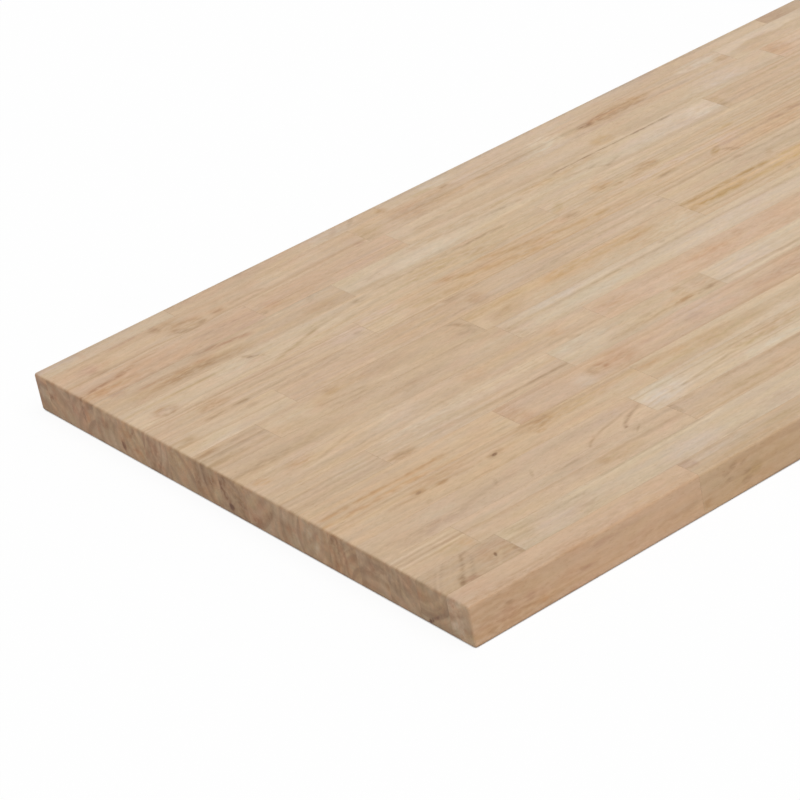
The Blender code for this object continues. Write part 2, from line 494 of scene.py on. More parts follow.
# What shows on the top of the wood, by row and stave. The first number is the distance from the visible
# end, and the second is the distance from the near edge.
TOP_MARKS = {
    (1, 1): [
        spot(10, 14, 110, 60, BROWN, 0.12), line(80, 3, 310, 3, 5, RED, 0.4), spot(22, 18, 24, 18, PINK),
        spot(172, 15, 110, 24, OLIVE, 0.4), line(40, 9, 150, 10, 1.6, DARK, 0.15),
        line(140, 11, 245, 13, 1.6, DARK, 0.15),
    ],
    (1, 2): [
        line(222, 20, 252, 20, 6, PLUM, 0.9), line(228, 25.5, 305, 25, 1.6, DARK, 0.45),
        spot(250, 14, 170, 50, BLUE, 0.3), line(242, 19, 305, 19, 2.2, BLUE),
        line(230, 14, 310, 14, 1.3, DARK, 0.35), line(280, 14, 700, 15, 2.6, OLIVE, 0.9),
        line(250, 5, 620, 6, 3.0, BROWN, 0.4),
    ],
    # The corner knot, and the rings beside it
    (2, 1): [
        line(-6, 30, 20, 64, 1.1, GREY, 0.7, bow=2), line(-4, 26, 31, 70, 1.2, GREY, 0.7, bow=2),
        line(-4, 29, 24, 66, 0.8, PALE, 0.8, bow=2), line(5, 23, 38, 69, 1.0, PALE, bow=2),
        line(13, 22, 46, 66, 1.3, DARK, 0.75, bow=-1), spot(22, 34, 10, 12, DARK, 0.7, lean=1.3),
        line(30, 30, 50, 58, 1.3, GREY, 0.7, bow=-1), spot(66, 45, 36, 36, RED, 0.65),
        spot(20, 45, 70, 60, BROWN, 0.35), knot(62, 42, 3.4, 4.2, 1.0, lean=1.0),
        line(54, 27, 70, 45, 1.2, LIGHT), spot(29, 30, 13, 8, PLUM, 1.0), spot(78, 34, 5, 18, DARK),
        spot(47, 64, 8, 5, DARK), spot(30, 30, 22, 7, RED, 0.6),
    ],
    (2, 2): [
        spot(91, 62, 14, 5, DARK, 0.4), line(140, 62, 330, 62, 1.8, LIGHT, 0.4),
        line(80, 57, 175, 57, 1.2, GREY, 0.8), spot(125, 42, 40, 28, LILAC, 0.9),
        spot(120, 46, 120, 60, BROWN, 0.35), spot(155, 37, 14, 16, GREY), line(180, 65, 315, 65, 1.2, DARK),
        spot(362, 39, 44, 18, PLUM, 0.4), spot(268, 40, 54, 26, LILAC, 0.9),
        line(290, 29, 334, 29, 1.6, DARK, 0.4), line(72, 48, 108, 48, 1.6, DARK, 0.4),
        spot(314, 37, 44, 18, PALE, 0.4),
    ],
    (3, 1): [
        stripes(28, 89.5, 84, 26, 6.6, DARK, 0.35), stripes(28, 92.8, 84, 26, 6.6, LIGHT, 0.55),
        spot(60, 75, 12, 16, ORANGE, 0.7), spot(46, 77, 22, 16, OLIVE, 0.8),
    ],
    (3, 2): [
        spot(175, 92, 60, 18, GREY), spot(170, 92, 150, 22, BLUE, 0.3), spot(222, 80, 40, 22, OLIVE, 0.8),
        line(165, 99, 228, 101, 1.8, DARK), line(245, 99, 330, 99, 1.3, DARK, 0.35),
        spot(258, 97, 10, 3, DARK, lean=0.8), spot(206, 80, 12, 9, RED),
    ],
    (3, 3): [
        spot(298, 95, 6, 20, DARK, 0.55), line(285, 103, 330, 102, 1.5, DARK, 0.4),
        spot(352, 84, 70, 26, OLIVE, 0.3), spot(402, 86, 12, 10, RED),
        line(285, 72, 420, 71, 2.0, OLIVE, 0.7), line(330, 81, 400, 82, 2.0, OLIVE, 0.8),
        line(340, 102.5, 460, 102.5, 1.5, DARK, 0.4),
    ],
    # Two ring tips
    (4, 1): [
        spot(15, 124, 150, 56, GREY, 0.35), line(-20, 129, 95, 119, 2.2, DARK, 0.2, bow=-2),
        line(70, 117, 270, 136, 2.4, DARK, 0.28, bow=4), arc(215, 107, 0.14, 26, 1.1, DARK, 0.7),
        arc(253, 105, 0.075, 30, 1.4, BLACK, 0.55), spot(275, 113, 44, 16, PALE),
        spot(158, 115, 6, 6, DARK, lean=1.3), spot(132, 129, 6, 6, DARK, 0.35, lean=1.3),
        spot(69, 131, 50, 14, BLUE, 0.35), spot(60, 115, 56, 16, PLUM), spot(264, 134, 44, 16, LILAC, 0.7),
    ],
    (4, 2): [
        spot(312, 129, 50, 28, BLUE, 0.9), line(322, 119, 400, 127, 1.2, DARK, 0.7),
        line(325, 122, 398, 130, 1.1, PALE, 0.7), line(385, 127, 500, 127, 2.0, OLIVE, 0.9),
        spot(440, 134, 110, 20, BROWN, 0.6), line(385, 111, 520, 111, 3.8, BLUE, 0.9),
        spot(306, 118, 44, 26, LILAC, 0.9),
    ],
    # Two small knots
    (5, 1): [
        spot(40, 164, 190, 60, GREY, 0.3), line(80, 147, 220, 147, 1.3, DARK, 0.45),
        line(40, 165, 195, 165, 1.5, BROWN, 0.6), spot(84, 169, 13, 8, BROWN, 0.9),
        knot(83, 168, 6, 3.6, 0.5, lean=0.2), spot(160, 164, 15, 8, DARK, 0.6, lean=0.25),
        knot(159.5, 164, 6, 3.6, 1.0, lean=0.25), spot(80, 149, 7, 6, DARK, lean=0.4),
        spot(106, 165, 12, 6, BROWN, 0.9), spot(108, 175, 52, 14, RED, 0.45),
        spot(212, 175, 36, 22, BROWN, 0.7), spot(221, 178, 12, 7, DARK, 0.4),
        spot(208, 162, 10, 6, BROWN, 0.8), line(200, 174, 340, 174, 1.9, GOLD, 0.9),
        line(200, 167, 290, 167, 1.9, GOLD, 0.8), spot(22, 164, 60, 34, BLUE, 0.25),
        spot(300, 165, 80, 50, BLUE, 0.35),
    ],
    (5, 2): [
        line(295, 171, 440, 171, 2.4, BROWN, 0.35), line(405, 170, 570, 168, 2.0, BROWN, 0.2),
        spot(335, 172, 24, 9, ORANGE), spot(367, 166, 20, 16, ORANGE), spot(440, 160, 160, 50, BLUE, 0.45),
        line(320, 160, 500, 162, 2.0, OLIVE, 0.8), spot(397, 163, 34, 24, GOLD, 0.6),
    ],
    (6, 1): [
        spot(30, 203, 170, 60, GREY, 0.3), line(-5, 198.5, 145, 198.5, 2.4, ORANGE, 0.9),
        line(-5, 199.5, 140, 199.5, 1.6, BROWN), line(-20, 189, 115, 189, 2.0, ORANGE, 0.9),
        line(10, 187.5, 150, 185, 1.6, BROWN, 0.6), spot(145, 212, 30, 20, BLUE, 0.3),
        spot(196, 197, 22, 22, BLUE, 0.4), spot(190, 192, 14, 3, DARK, 0.4),
    ],
    # Rings that close to a lens
    (6, 2): [
        spot(210, 200, 26, 40, RED, 0.6), spot(255, 205, 44, 26, GREY, 0.3), spot(305, 203, 22, 16, BROWN),
        arc(297, 203, 0.15, 9, 1.6, DARK, 0.55), arc(313, 203, -0.15, 10, 1.5, RED, 0.9),
        spot(328, 200, 30, 36, RED, 0.65), spot(285, 196, 18, 28, BLUE, 0.6),
        spot(360, 205, 34, 9, PINK, 0.9), spot(420, 205, 130, 40, BLUE, 0.2),
        spot(416, 200, 26, 14, PLUM, 0.6), spot(452, 195, 20, 12, PINK, 0.7),
        line(465, 198, 610, 202, 7, RED, 0.7), spot(505, 214, 34, 14, BLUE, 0.4),
        spot(425, 212, 60, 16, LILAC, 0.7),
    ],
    (7, 1): [
        line(-15, 231, 120, 232, 2.0, DARK, 0.35), line(-15, 241, 112, 240, 1.6, DARK, 0.4),
        spot(73, 245, 44, 24, BLUE, 0.4), line(-15, 248, 112, 248, 1.0, DARK, 0.3),
    ],
    (7, 2): [
        line(90, 231, 330, 233, 1.5, DARK, 0.4), spot(112, 228, 32, 14, BROWN, 0.8),
        spot(112, 229, 24, 9, DARK, 0.3), line(90, 238, 305, 238, 1.8, PALE), spot(150, 240, 90, 44, BLUE),
        line(90, 253, 195, 253, 1.6, DARK, 0.35), line(250, 233, 310, 233, 1.7, DARK, 0.3),
        spot(225, 259, 270, 15, LIGHT),
    ],
    (7, 3): [
        spot(322, 245, 60, 30, BLUE, 0.6), line(335, 232, 480, 232, 1.8, DARK, 0.6),
        spot(437, 233, 26, 7, BROWN, 0.8), spot(430, 237, 34, 16, ORANGE, 0.45),
        spot(463, 233, 20, 6, DARK), spot(464, 246, 22, 26, RED), spot(440, 248, 14, 16, OLIVE, 0.8),
        spot(391, 240, 14, 5, DARK, 0.4), spot(440, 255, 10, 8, RED), spot(362, 247, 44, 20, BLUE, 0.3),
        line(320, 257, 430, 256, 1.4, GREY, 0.6), spot(318, 259, 100, 13, LIGHT, 0.4),
    ],
    (7, 4): [
        line(445, 231, 640, 231, 1.8, DARK, 0.45), line(480, 226, 610, 226, 2.2, PALE, 0.9),
        spot(515, 242, 70, 24, LILAC, 0.9), line(470, 256, 630, 256, 2.4, BLUE),
    ],
    (8, 1): [
        spot(40, 281, 170, 60, OLIVE, 0.35), line(55, 262, 215, 271.5, 1.3, DARK, 0.3, bow=1.5),
        line(236, 268, 385, 269, 1.4, DARK, 0.3, bow=2), spot(350, 264, 60, 7, PALE),
        spot(205, 265, 230, 11, LIGHT, 0.35), line(-10, 275, 110, 284, 1.3, PALE, 0.7, bow=-1),
        line(50, 278, 190, 297, 1.3, PALE, bow=2), line(60, 283, 115, 297, 1.1, DARK, 0.4),
        line(70, 270, 125, 276, 1.1, DARK, 0.4), spot(53, 294, 26, 14, BROWN, 0.7),
        spot(14, 293, 14, 12, ORANGE, 0.8), spot(148, 286, 60, 40, BLUE), spot(234, 286, 24, 30, RED, 0.35),
        line(165, 285, 210, 285, 1.5, DARK, 0.4), spot(331, 264, 12, 7, DARK, 0.4, lean=-0.4),
        spot(325, 283, 14, 12, ORANGE, 0.6), spot(280, 290, 90, 16, OLIVE),
        spot(348, 290, 32, 18, PALE, 0.6),
    ],
    (8, 2): [
        spot(392, 287, 34, 16, BROWN), spot(424, 273, 16, 9, PLUM, 0.6), spot(395, 272, 50, 26, BROWN, 0.4),
        spot(425, 268, 44, 12, BLUE, 0.4), line(425, 288, 530, 283, 2.4, RED, 0.4),
        line(480, 282, 650, 286, 2.2, RED, 0.35), spot(512, 281, 50, 26, ORANGE),
        spot(592, 291, 44, 18, PINK), spot(546, 290, 12, 10, RED, 0.6), spot(556, 287, 14, 6, DARK, 0.3),
        spot(590, 271, 90, 16, BROWN, 0.55), line(640, 290, 800, 289, 2.4, RED),
        spot(466, 270, 40, 14, GOLD), spot(545, 278, 110, 18, LILAC),
    ],
    (9, 1): [
        spot(55, 318, 150, 14, DARK, 0.28), spot(30, 317, 76, 8, DARK, 0.3),
        spot(194, 318, 74, 12, DARK, 0.35), line(5, 307, 125, 304, 2.5, PALE, 0.8),
        spot(140, 312, 56, 24, PALE), spot(283, 331, 14, 9, RED, 0.3), spot(285, 312, 60, 20, BLUE, 0.4),
        spot(296, 325, 16, 14, PLUM),
    ],
    (9, 2): [
        line(270, 324, 450, 326, 1.8, DARK, 0.45), spot(312, 322, 34, 44, PLUM, 0.35),
        spot(565, 316, 170, 28, LILAC, 0.75), line(400, 326, 670, 331, 1.9, DARK, 0.4),
        line(310, 303, 660, 303, 3.0, BROWN, 0.25), spot(385, 318, 110, 36, BLUE),
        spot(480, 312, 200, 20, BLUE, 0.2), spot(495, 336, 7, 6, DARK, 0.4),
        spot(365, 331, 60, 14, LILAC, 0.7), spot(306, 312, 14, 40, BROWN, 0.35),
    ],
    (10, 1): [
        stripes(22, 362, 94, 34, 10.5, DARK, 0.38), stripes(22, 367.2, 94, 30, 10.5, PALE, 0.45),
        spot(14, 373, 34, 9, BROWN, 0.8), spot(17, 350, 50, 16, GOLD, 0.6),
    ],
    (10, 2): [
        spot(92, 360, 44, 30, BLUE), spot(139, 372, 26, 14, BROWN, 0.6), spot(126, 360, 14, 12, RED, 0.4),
        spot(84, 350, 34, 18, BROWN), spot(200, 366, 50, 22, RED, 0.25),
        line(135, 375, 175, 374, 1.6, DARK, 0.4), line(170, 372, 230, 372, 1.5, PLUM),
        line(120, 347, 190, 344, 1.8, DARK, 0.45), line(120, 358, 172, 351, 1.2, DARK, 0.4),
        line(170, 350, 215, 350, 1.5, PALE, 0.8), spot(285, 368, 12, 12, DARK, lean=-1.4),
        spot(284, 349, 20, 12, DARK, 0.22, lean=-0.7), spot(284, 360, 26, 38, GREY),
        spot(161, 369, 40, 12, GOLD, 0.4),
    ],
    (10, 3): [
        line(285, 374, 368, 374, 3.4, OLIVE, 1.0), line(290, 369, 360, 371, 1.6, BROWN, 0.4),
        line(295, 364, 365, 364, 1.3, PALE), line(303, 345, 366, 362, 2.0, BROWN, 0.3, bow=6),
        spot(328, 353, 28, 14, OLIVE, 0.8), spot(300, 352, 14, 22, PALE, 0.9),
        line(335, 367, 405, 367, 1.2, PALE), line(378, 374, 515, 374, 2.0, GOLD, 0.9),
        line(375, 366, 522, 366, 2.6, GOLD, 1.0), spot(533, 360, 44, 34, BLUE, 0.6),
        spot(487, 365, 22, 8, RED), spot(405, 366, 34, 7, BROWN, 0.3), spot(450, 348, 230, 20, BLUE, 0.6),
        spot(400, 370, 60, 14, GOLD, 0.4), spot(362, 353, 30, 18, PALE, 0.6), spot(510, 349, 76, 14, PALE),
    ],
    # Golden streaks
    (10, 4): [
        line(540, 374.5, 668, 374, 2.1, UMBER, 0.9), line(620, 374, 820, 373, 1.9, AMBER, 0.7),
        line(540, 361, 760, 360.5, 3.2, AMBER, 0.8), spot(583, 361, 76, 11, UMBER),
        line(545, 368, 800, 368, 1.9, HONEY, 0.6), spot(600, 348, 130, 16, BLUE),
        spot(665, 346, 7, 5, DARK, 0.6), spot(655, 370, 44, 16, LILAC, 0.8),
    ],
    (11, 1): [
        spot(11, 408, 28, 16, BROWN, 0.6), spot(15, 405, 12, 7, DARK, 0.25), spot(40, 387, 46, 18, BLUE),
        spot(87, 410, 11, 7, DARK, 0.35), line(-15, 381, 125, 381, 1.2, PALE, 0.8),
    ],
    (11, 2): [
        spot(160, 398, 110, 34, PLUM, 0.3), line(110, 415, 205, 415, 2.0, DARK, 0.35),
        spot(280, 402, 120, 44, BROWN, 0.35), line(170, 385, 225, 385, 1.4, PALE, 0.8),
        line(260, 389, 430, 389, 1.8, GREY, 0.7), spot(357, 393, 42, 18, BLUE, 0.35),
        spot(326, 396, 16, 26, RED), spot(500, 396, 130, 44, BLUE, 0.35),
        line(385, 391, 575, 402, 1.5, DARK, 0.4, bow=-1), line(470, 402, 575, 407, 1.9, PALE, 0.9),
        spot(311, 414, 14, 9, DARK, 0.3), line(275, 416, 355, 416, 1.3, DARK, 0.35),
        spot(452, 408, 100, 16, GOLD),
    ],
    (11, 3): [
        line(560, 413, 650, 413, 1.1, GREY, 0.7), line(630, 407, 755, 406, 1.4, DARK, 0.45),
        spot(654, 408, 16, 8, DARK, 0.25), spot(700, 398, 100, 44, GREY, 0.4),
        spot(630, 398, 90, 30, GREY, 0.3), spot(678, 389, 16, 8, BROWN, lean=0.8),
        spot(700, 384, 60, 10, PALE),
    ],
    (12, 1): [
        line(42, 421.5, 96, 421.5, 1.6, DARK, 0.8), line(65, 422, 210, 423, 1.4, DARK, 0.4),
        spot(65, 440, 26, 20, BROWN, 0.7), line(-30, 438, 90, 438, 2.4, DARK, 0.3),
        line(70, 438, 175, 438, 2.4, DARK, 0.3), line(40, 454, 165, 454, 1.8, DARK, 0.25),
        spot(222, 438, 9, 7, DARK, 0.45), spot(212, 452, 40, 14, PALE, 0.6),
        spot(215, 445, 36, 26, LILAC, 0.7),
    ],
    # Two bowed golden streaks, and a dark spot
    (12, 2): [
        spot(248, 437, 60, 40, BLUE), line(275, 434, 350, 424, 3.0, OLIVE, 1.0),
        spot(330, 428, 60, 12, BROWN, 0.3), line(275, 420, 355, 420, 1.8, PALE, 0.7),
        line(318, 456, 450, 424, 3.6, GOLD, 1.0, bow=-9), line(318, 456, 450, 424, 2.2, BROWN, 0.3, bow=-9),
        line(368, 458, 520, 431, 3.4, GOLD, 0.9, bow=-8), line(368, 458, 520, 431, 2.0, BROWN, 0.3, bow=-8),
        spot(420, 434, 60, 14, BROWN, 0.4), line(470, 431, 600, 424, 2.2, GOLD, 0.4),
        spot(590, 440, 190, 44, BLUE, 0.45), spot(335, 451, 26, 10, PINK, 0.8),
        spot(372, 441, 42, 14, PINK, 0.7), spot(484, 449, 17, 11, DARK, 0.7),
        spot(473, 449, 9, 9, PINK, 0.9), line(395, 453, 475, 453, 1.5, BROWN),
        line(575, 438.5, 650, 438, 1.9, DARK, 0.35), spot(594, 438, 22, 8, DARK, 0.55),
        spot(535, 428, 60, 12, BROWN, 0.4), spot(652, 435, 15, 8, UMBER, 0.9, lean=0.5),
        spot(663, 425, 13, 9, DARK, 0.75, lean=-0.8), spot(660, 424, 50, 28, PINK, 0.6),
        line(650, 439.5, 800, 441, 2.4, PLUM, 0.9), spot(682, 448, 40, 14, LILAC, 1.0),
        spot(752, 441, 50, 14, RED), spot(716, 427, 84, 14, RED), spot(258, 452, 44, 12, LILAC, 0.8),
        spot(602, 451, 100, 13, LILAC, 0.9),
    ],
    # A pale ring near the corner, and lines that lean across the stave
    (13, 1): [
        spot(60, 474, 190, 50, PALE, 0.35), spot(115, 482, 40, 26, BLUE), spot(34, 467, 28, 20, PLUM, 0.7),
        spot(34, 467, 19, 14, BROWN, part="Ring"), spot(32, 473, 16, 6, BROWN),
        spot(30, 462, 5, 7, DARK, 0.35), spot(37, 461, 5, 7, DARK, 0.35),
        spot(136.5, 487, 6, 8, DARK, 0.7, lean=-0.8), line(131, 492, 150, 475, 1.3, DARK),
        spot(140, 480, 18, 16, PLUM, 0.4), spot(200, 480, 110, 44, BLUE, 0.3),
        line(140, 455, 212, 480, 2.0, DARK, 0.35, bow=-0.5),
        line(140, 455, 212, 480, 1.8, OLIVE, 0.8, bow=-0.5),
        line(185, 473, 268, 490, 1.6, DARK, 0.35, bow=-0.5),
        line(178, 478, 275, 492, 1.6, DARK, 0.3, bow=1.5),
        line(195, 460, 282, 474, 1.8, DARK, 0.35, bow=0.5), spot(210, 474, 90, 8, PALE, 0.6, lean=0.22),
        spot(165, 470, 50, 8, PALE, 0.6, lean=0.3), spot(261, 487, 22, 9, DARK, 0.4),
        line(-5, 487, 120, 487, 1.5, OLIVE, 1.0), line(50, 487, 104, 487, 1.8, DARK, 0.45),
        line(270, 491.5, 440, 491, 2.2, DARK), line(375, 491, 510, 487, 1.6, DARK, 0.4),
        line(270, 474, 375, 475, 2.2, OLIVE, 0.8), spot(340, 478, 60, 22, GOLD),
        spot(387, 470, 28, 16, BROWN, 0.6, lean=-0.5), spot(410, 476, 170, 30, OLIVE),
        spot(411, 462, 14, 9, GREY, 0.7), spot(14, 463, 32, 14, PALE),
    ],
    (13, 2): [
        spot(487, 474, 22, 12, OLIVE, 1.0, lean=0.8), spot(600, 488, 240, 16, PALE, 0.6),
        spot(690, 468, 26, 10, GOLD, 0.8), spot(760, 476, 110, 34, BROWN, 0.25),
        spot(600, 466, 200, 18, OLIVE, 0.35), spot(540, 473, 22, 18, ORANGE, 1.0),
        spot(540, 469, 12, 9, DARK, 0.45), spot(553, 462, 10, 6, BROWN, 0.9),
        spot(574, 461, 12, 5, BROWN, 0.8), spot(515, 459, 18, 8, DARK, 0.3),
        spot(595, 469, 24, 15, BROWN, 0.9), stripes(785, 489, 70, 22, 9, DARK, 0.35),
        spot(514, 487, 70, 12, PALE, 0.4), spot(732, 486, 56, 18, PALE, 0.6),
    ],
    (14, 1): [
        line(20, 508, 160, 502, 5.0, BROWN, 0.7, bow=4), spot(84, 509, 52, 14, BROWN, 0.7),
        spot(120, 506, 44, 12, DARK, 0.25, lean=-0.2), line(35, 522, 125, 517, 2.4, RED, 0.9),
        line(105, 535, 170, 521, 2.6, PLUM, 1.0), line(112, 533, 165, 523, 1.8, RED, 0.6),
        spot(111, 529, 16, 12, DARK, 0.2), spot(25, 531, 15, 10, PLUM, 1.0),
        spot(238, 506, 44, 18, BROWN, 0.4, lean=-0.2), spot(238, 530, 44, 14, BLUE, 0.4),
        line(35, 530, 195, 506, 1.4, PALE, 0.8, bow=2), spot(197, 531, 20, 10, PALE, 1.0),
        spot(238, 530, 10, 9, GREY, 0.6, lean=1.0), spot(132, 528, 36, 10, BROWN, 0.4),
        spot(208, 527, 40, 12, PALE, 0.4),
    ],
    # A dark glue line, which the next row shares
    (14, 2): [
        line(285, 510, 350, 528, 1.6, DARK, 0.25, bow=3), line(330, 527.5, 490, 519, 1.7, DARK, 0.3),
        line(335, 530, 620, 530, 4.4, BROWN, 0.7), spot(520, 522, 60, 22, BROWN, 0.3),
        spot(282, 516, 36, 44, GREY, 0.35), line(445, 520, 585, 513, 1.6, DARK, 0.45),
        line(556, 515, 580, 500, 1.5, DARK), line(571, 501, 596, 509, 1.5, DARK, 0.6),
        spot(365, 508, 84, 24, BLUE, 0.4), line(525, 534.7, 690, 534.7, 0.9, BLACK, 0.8),
        spot(560, 506, 90, 18, BLUE, 0.4), spot(672, 517, 120, 36, LILAC, 0.9),
        spot(704, 514, 34, 26, LIGHT, 0.35), spot(630, 508, 60, 22, PALE),
    ],
    (14, 3): [
        spot(730, 515, 12, 32, OLIVE, 0.7), line(700, 508, 800, 507, 1.7, DARK, 0.4),
        line(700, 514, 780, 514, 1.3, DARK, 0.35), line(715, 525, 870, 526, 2.2, OLIVE, 0.8),
    ],
    (15, 1): [
        spot(45, 550, 150, 44, RED, 0.4), line(-14, 554, 62, 562, 1.7, RED, 1.0, bow=-0.5),
        line(-14, 554, 62, 562, 1.2, DARK, 0.6, bow=-0.5), spot(18, 547, 70, 12, ORANGE, 0.8),
        line(40, 562, 100, 573, 1.7, BROWN, 0.7), spot(26, 569, 44, 8, PALE, 0.8),
        line(5, 537, 120, 537, 2.0, DARK, 0.35), spot(165, 549, 64, 36, PLUM),
        line(120, 557, 178, 556, 1.2, GREY, 0.7),
    ],
    (15, 2): [
        spot(196, 546, 7, 11, DARK, 0.6), spot(208, 552, 16, 20, PINK, 0.9),
        spot(240, 556, 90, 40, BROWN, 0.35), spot(310, 556, 50, 34, PLUM, 0.3),
        spot(343, 542, 30, 16, OLIVE, 0.4),
    ],
    (15, 3): [
        spot(368, 560, 24, 28, BLUE, 0.3), line(345, 571, 490, 570, 1.8, PALE, 0.7),
        line(370, 560, 510, 560, 1.5, GREY, 0.6), spot(394, 555, 30, 10, BROWN, 0.4),
        spot(460, 562, 110, 20, BROWN, 0.3), spot(608, 552, 22, 18, GOLD, 0.9),
        line(525, 535.9, 690, 535.9, 0.9, BLACK, 0.8), spot(545, 560, 100, 26, LILAC, 0.4),
        spot(640, 556, 90, 26, BROWN, 0.2), spot(740, 546, 150, 26, BLUE, 0.4),
        spot(772, 560, 64, 30, LILAC, 0.9), line(690, 541, 850, 545, 1.9, PALE, 0.7),
        spot(630, 543, 130, 12, PALE, 0.4), spot(600, 545, 120, 14, PALE),
        spot(555, 567, 80, 14, GOLD, 0.4), spot(738, 546, 44, 16, PALE),
    ],
    (15, 4): [spot(849, 560, 26, 26, RED, 0.7), spot(890, 562, 50, 44, BLUE, 0.6)],
    # A knot with its ring
    (16, 1): [
        spot(139, 588, 34, 23, BROWN, 0.75), spot(139, 587, 28, 17, DARK, 0.35, part="Ring"),
        spot(129, 583, 13, 12, DARK, 0.45, lean=-0.5), spot(151, 583, 10, 7, DARK, 0.4),
        spot(114, 606, 10, 12, DARK, 0.45), spot(124, 603, 28, 18, BROWN, 0.6),
        spot(172, 587, 18, 12, RED, 0.7), spot(171, 587, 11, 7, DARK, 0.4),
        line(182, 586, 228, 584, 1.6, DARK, bow=4), spot(38, 581, 22, 9, DARK, 0.4),
        spot(33, 594, 20, 18, PLUM, 0.8), spot(52, 595, 20, 14, BROWN), spot(10, 592, 60, 44, PINK, 0.6),
        line(18, 612, 60, 612, 1.4, DARK, 0.35), line(58, 611, 122, 611, 1.8, PLUM, 1.0),
        spot(240, 597, 36, 22, BLUE), spot(320, 592, 44, 34, PLUM, 0.35), spot(300, 600, 70, 30, BLUE, 0.4),
        spot(332, 579, 12, 9, PLUM, 1.0),
    ],
    # A long dark lens
    (16, 2): [
        spot(347, 582, 16, 15, DARK, 0.35), spot(352, 594, 30, 30, OLIVE, 1.0),
        spot(402, 595, 38, 34, RED, 0.6), spot(440, 600, 44, 26, BROWN, 0.45),
        spot(456, 609, 10, 7, DARK, 0.7), line(415, 589, 470, 590, 2.0, BROWN),
        line(390, 577, 500, 577, 1.7, DARK, 0.3), line(448, 611, 504, 588, 2.2, BROWN, 0.4, bow=-2),
        line(475, 590, 580, 598, 2.4, BROWN, 0.4, bow=-2), spot(540, 600, 150, 30, BLUE, 0.35),
        spot(573, 594, 50, 44, BLUE), spot(575, 597, 34, 28, LIGHT, 0.35),
        line(590, 592, 632, 591, 2.6, DARK, 0.4), spot(621, 591, 14, 9, BLACK),
        line(616, 592, 694, 607, 2.0, RED, 0.4, bow=1), line(606, 590, 702, 586, 2.2, DARK, 0.3),
        spot(661, 591, 84, 19, BROWN, 1.0, lean=0.06, soft=0.3), spot(640, 592, 40, 12, RED, 0.6),
        spot(690, 594, 22, 16, ORANGE, 0.4), line(590, 577, 720, 577, 1.7, DARK, 0.35),
        line(685, 584, 755, 583, 1.7, GREY, 0.7), spot(775, 594, 90, 36, BLUE),
        spot(803, 592, 18, 12, BROWN, 0.8), line(748, 609, 818, 600, 1.6, PALE, 1.0, bow=-9),
        spot(786, 606, 50, 18, BLUE, 0.8), spot(520, 594, 60, 14, GREY, 0.4), spot(556, 583, 50, 16, BLUE),
        spot(478, 604, 44, 14, LILAC, 0.7),
    ],
    (16, 3): [spot(865, 598, 120, 34, LILAC, 0.8), spot(860, 593, 50, 16, BROWN, 0.4)],
    (17, 1): [
        spot(60, 628, 200, 18, PLUM, 0.3), spot(70, 624, 200, 30, BLUE, 0.6),
        spot(45, 627, 6, 18, PINK, 0.9), line(-60, 631, 200, 631, 1.7, GREY, 0.7),
        spot(17, 629, 44, 12, LILAC, 0.9),
    ],
    (17, 2): [
        spot(210, 628, 140, 18, PLUM), line(100, 631, 430, 631, 1.7, GREY, 0.7),
        spot(330, 621, 18, 8, RED, lean=0.7), spot(320, 624, 70, 30, BLUE, 0.6),
        spot(355, 626, 12, 6, DARK, 0.4, lean=0.7), spot(388, 620, 12, 12, BROWN, 1.0),
        spot(326, 627, 50, 20, LILAC, 0.7),
    ],
    (17, 3): [
        spot(388, 620, 12, 12, BROWN, 1.0), spot(436, 616, 24, 9, GOLD, 0.9),
        line(340, 631, 960, 631, 1.7, GREY, 0.7), spot(640, 632, 560, 14, GREY),
        spot(640, 625, 560, 30, LILAC, 0.7), spot(450, 624, 40, 26, BLUE, 0.6),
        spot(760, 624, 110, 26, BROWN, 0.3), spot(668, 618, 90, 10, BROWN, 0.35),
    ],
    (17, 4): [spot(900, 624, 50, 30, PLUM, 0.8)],
}

# What shows on the near long edge: distances from the visible end and below the top
EDGE_MARKS = {
    (1, 1): [
        spot(38, 13, 9, 4.5, DARK, lean=0.3), spot(20, 22, 170, 60, BROWN, 0.55), spot(12, 22, 14, 8, RED),
        spot(18, 30, 9, 6, DARK, 0.35), spot(33, 24, 22, 14, PLUM), spot(55, 25, 14, 8, DARK, 0.25),
        spot(59, 19, 10, 8, PLUM), spot(72, 29, 7, 5, ORANGE, 0.9), line(25, 1, 125, 1, 1.5, DARK, 0.2),
        line(60, 15, 128, 14, 2.2, PALE, 0.6), spot(114, 23, 16, 5, PLUM, 0.9),
        line(118, 8, 176, 8, 2.0, PLUM, 0.6), line(145, 24, 238, 24, 2.4, DARK, 0.3),
        spot(140, 30, 320, 14, BROWN, 0.4), spot(130, 11, 220, 12, BLUE, 0.25),
        spot(175, 19, 110, 60, PALE, 0.3),
    ],
    (1, 2): [
        spot(243, 28, 12, 8, BROWN, 0.9), spot(264, 12, 8, 4, DARK), spot(272, 9, 8, 5, DARK, 0.6),
        spot(283, 11, 7, 4, DARK), spot(267, 19, 8, 4, DARK), spot(285, 20, 9, 5, DARK, 0.6),
        spot(285, 27, 10, 6, DARK, 0.6), spot(295, 22, 12, 10, OLIVE, 1.0), spot(290, 19, 110, 60, GOLD),
    ],
}

